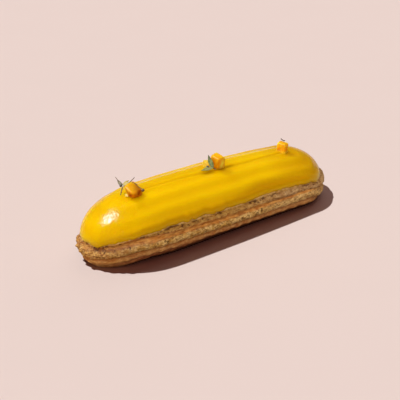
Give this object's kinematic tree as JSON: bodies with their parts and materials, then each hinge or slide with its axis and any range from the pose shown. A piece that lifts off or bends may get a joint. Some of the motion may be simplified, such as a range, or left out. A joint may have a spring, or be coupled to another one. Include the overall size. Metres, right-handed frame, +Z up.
{
  "type": "eclair",
  "caption": "Long choux eclair with piped ridges along its side, a smooth glaze over the crown, and candied fruit with herb sprigs along the crest.",
  "frame": {"origin": "on the floor, under the middle of the eclair's length and width", "axes": "+X along the length, from the craggy end to the blunt end, +Z up, +Y to the back"},
  "size_m": [0.1406, 0.0437, 0.035],
  "materials": {
    "choux": "baked crust, matt, pebbly, pitted, browner in the grooves",
    "glaze": "smooth glossy yellow glaze",
    "fruit": "moist translucent candied fruit",
    "herb": "soft matt leaf with a pale midrib",
    "petal": "thin soft petal",
    "stem": "dry brown stem"
  },
  "bodies": {
    "root": {"choux": "choux", "glaze": "glaze", "fruit_near": "fruit", "fruit_middle": "fruit", "fruit_far": "fruit", "sprig_near": "herb", "sprig_middle": "herb", "petal_middle": "petal", "twig_far": "stem"}
  },
  "joints": []
}
